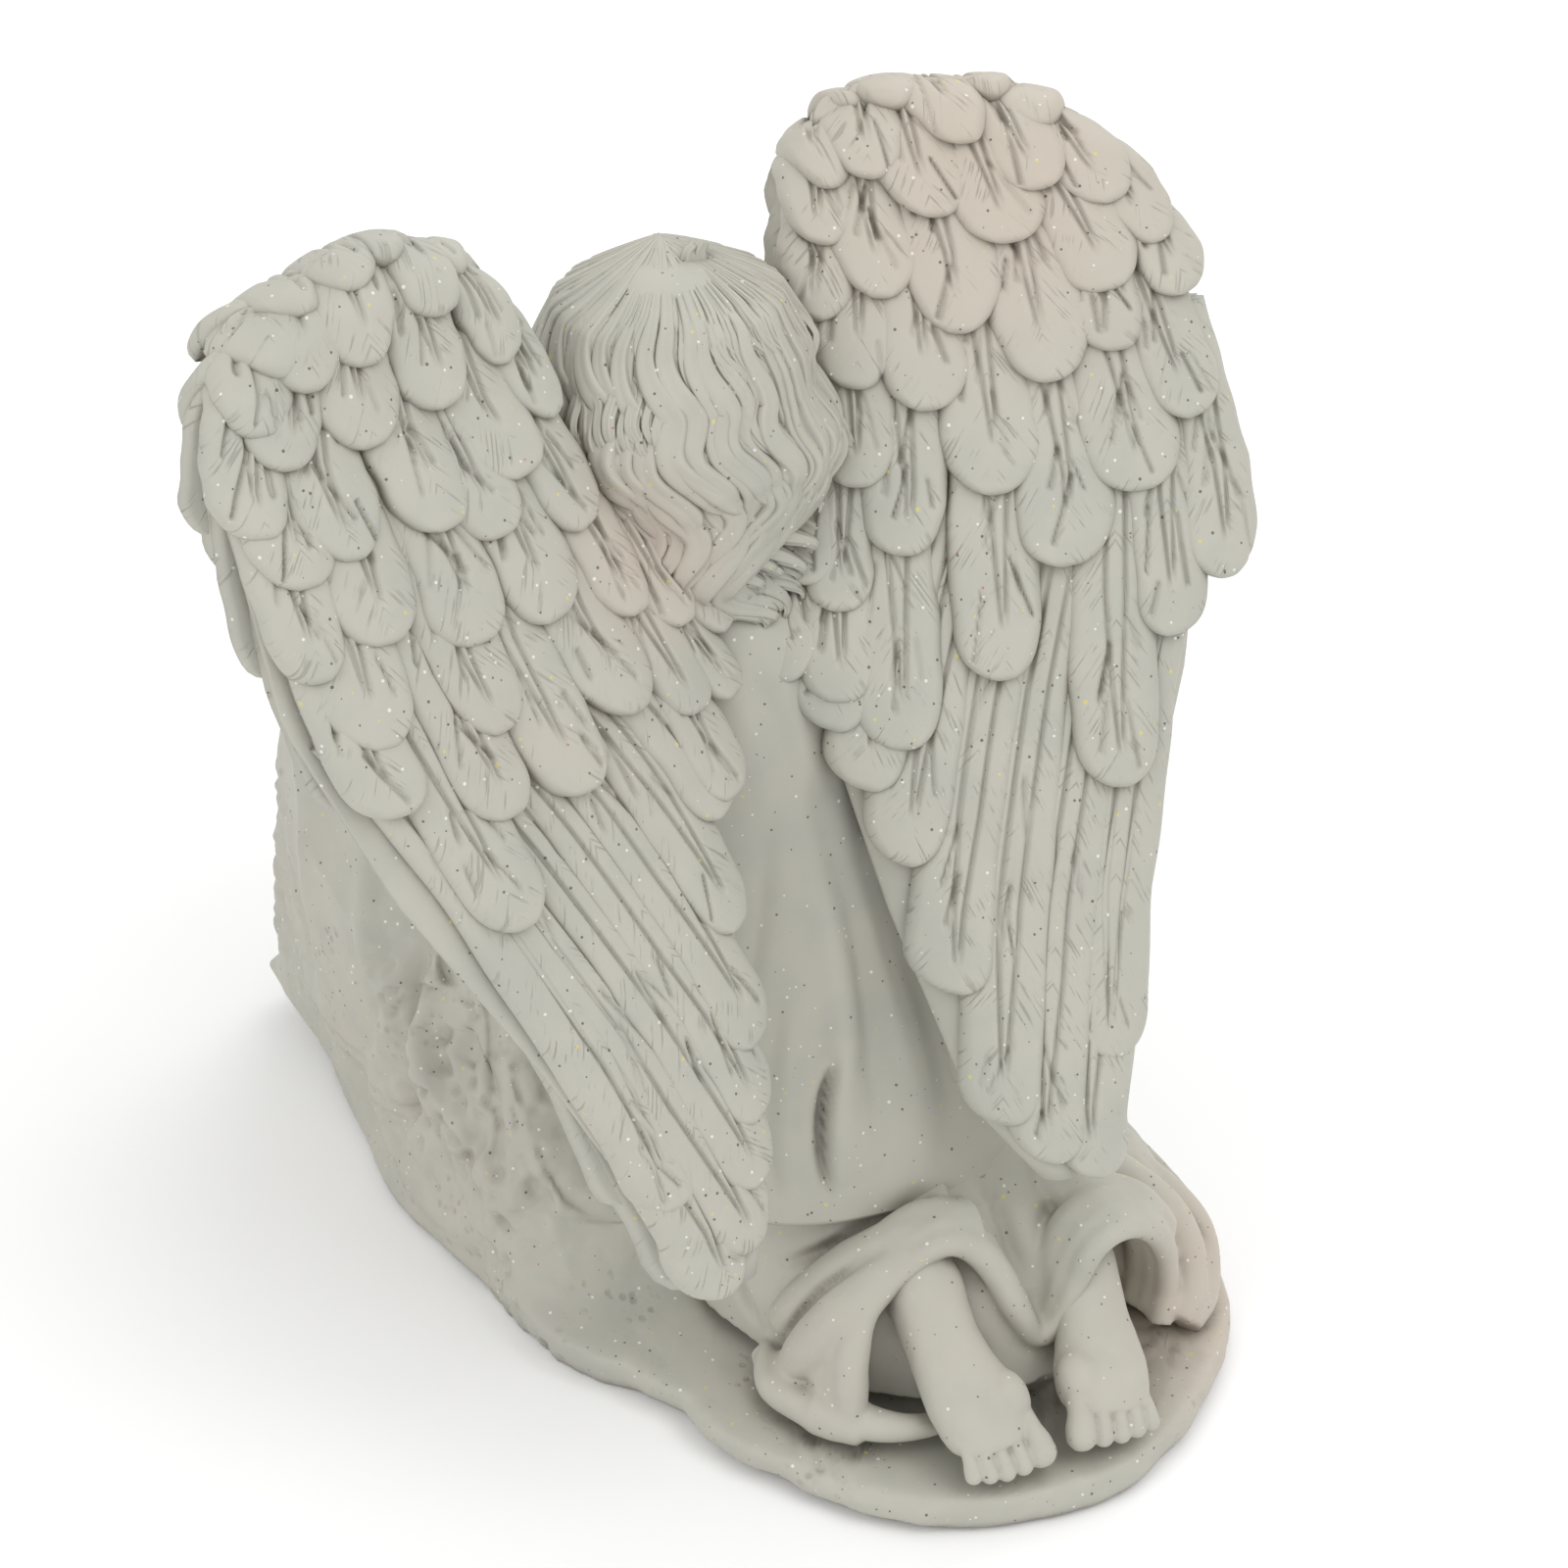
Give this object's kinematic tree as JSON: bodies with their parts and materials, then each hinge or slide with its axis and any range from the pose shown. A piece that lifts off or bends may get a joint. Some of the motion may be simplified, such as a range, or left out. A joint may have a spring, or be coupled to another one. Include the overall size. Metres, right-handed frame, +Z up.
{
  "type": "angel figurine",
  "caption": "Kneeling winged angel in a long robe, sitting on its heels on a rock base with its arms on a tall rock; stands on its flat underside.",
  "frame": {"origin": "on the plane the base stands on, below the angel's back", "axes": "+Z up, the angel faces -Y and its left hand is on +X"},
  "size_m": [0.1763, 0.2171, 0.2263],
  "materials": {
    "resin": "off-white stone-effect casting resin, satin matt, finely speckled, with a thin brown-grey wash in the recesses"
  },
  "bodies": {
    "root": {"rock_base": "resin", "tall_rock": "resin", "torso": "resin", "skirt": "resin", "head": "resin", "hair": "resin", "left_wing": "resin", "right_wing": "resin", "left_hand": "resin", "left_sleeve": "resin", "right_hand": "resin", "right_sleeve": "resin", "left_foot": "resin", "right_foot": "resin"}
  },
  "joints": []
}
